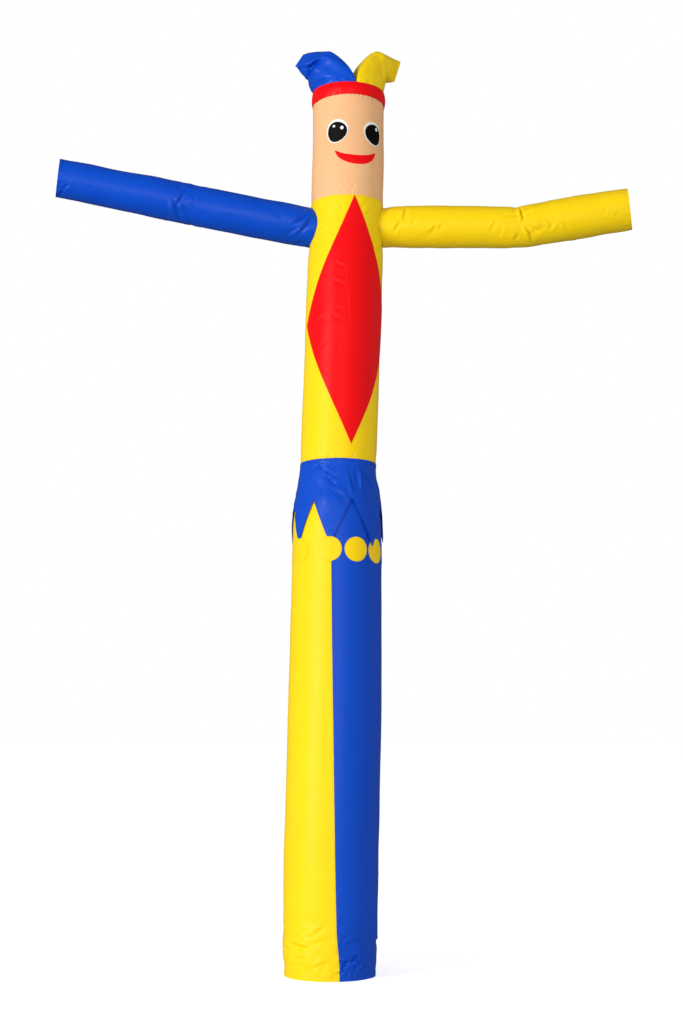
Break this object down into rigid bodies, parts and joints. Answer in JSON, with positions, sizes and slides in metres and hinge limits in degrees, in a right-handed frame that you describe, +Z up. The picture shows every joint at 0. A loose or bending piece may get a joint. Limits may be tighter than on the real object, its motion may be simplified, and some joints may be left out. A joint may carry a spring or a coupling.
{
  "type": "inflatable air dancer",
  "caption": "Tall inflatable tube figure of sewn nylon with open-ended arms, a smiling face, a horned jester cap and a toothed skirt, open at the foot for a blower.",
  "frame": {"origin": "middle of the blower mouth, on the surface that the hem rests on", "axes": "+Z up the tube, -Y the way the face looks, +X towards the yellow arm"},
  "size_m": [1.9316, 0.4318, 3.058],
  "materials": {
    "yellow_nylon": "coated nylon, soft sheen",
    "blue_nylon": "coated nylon, soft sheen",
    "red_nylon": "coated nylon, soft sheen",
    "skin_nylon": "coated nylon, soft sheen",
    "white_nylon": "coated nylon, soft sheen",
    "black_nylon": "coated nylon, soft sheen"
  },
  "bodies": {
    "root": {"trouser_yellow": "yellow_nylon", "torso": "yellow_nylon", "horn_yellow": "yellow_nylon", "arm_yellow": "yellow_nylon", "disc_1": "yellow_nylon", "disc_2": "yellow_nylon", "disc_3": "yellow_nylon", "disc_4": "yellow_nylon", "disc_5": "yellow_nylon", "disc_6": "yellow_nylon", "disc_7": "yellow_nylon", "disc_8": "yellow_nylon", "disc_9": "yellow_nylon", "trouser_blue": "blue_nylon", "skirt": "blue_nylon", "horn_blue": "blue_nylon", "arm_blue": "blue_nylon", "diamond": "red_nylon", "headband": "red_nylon", "mouth": "red_nylon", "head": "skin_nylon", "eye_white_left": "white_nylon", "eye_white_right": "white_nylon", "glint_left": "white_nylon", "glint_left_low": "white_nylon", "glint_right": "white_nylon", "pupil_left": "black_nylon", "pupil_right": "black_nylon"}
  },
  "joints": []
}
